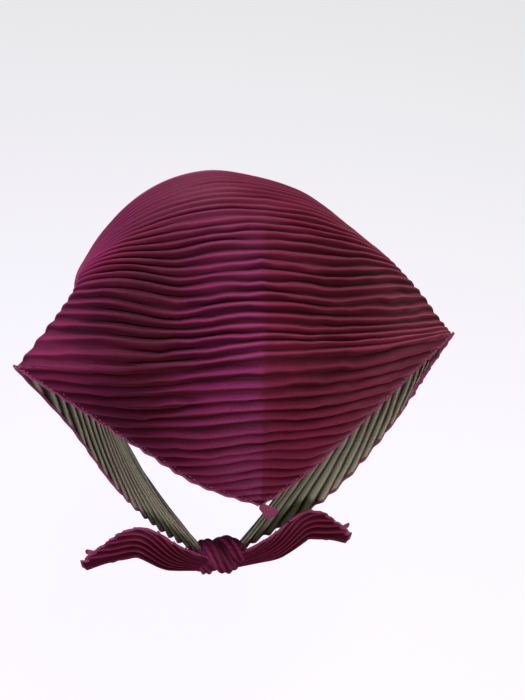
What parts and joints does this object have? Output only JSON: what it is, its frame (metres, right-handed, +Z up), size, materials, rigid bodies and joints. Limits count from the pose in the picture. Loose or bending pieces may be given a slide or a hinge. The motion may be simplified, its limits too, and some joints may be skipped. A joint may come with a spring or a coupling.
{
  "type": "pleated head scarf",
  "caption": "Pleated triangular head scarf as worn over the crown, with a free back flap and wings, tied in a half knot at the nape.",
  "frame": {"origin": "where the inside of the cloth rests on the top of the wearer's head, above the middle of the head", "axes": "+X towards the wearer's left, +Y towards the back of the head, +Z up"},
  "size_m": [0.2498, 0.1668, 0.2331],
  "materials": {
    "pleated_cloth": "deep wine red pleated twill with a soft sheen on the crests and an olive tint on its wrong side",
    "knotted_cloth": "the same wine red cloth, bundled tight"
  },
  "bodies": {
    "root": {"kerchief": "pleated_cloth", "knot": "knotted_cloth", "tie_end_left": "pleated_cloth", "tie_end_right": "pleated_cloth"}
  },
  "joints": []
}
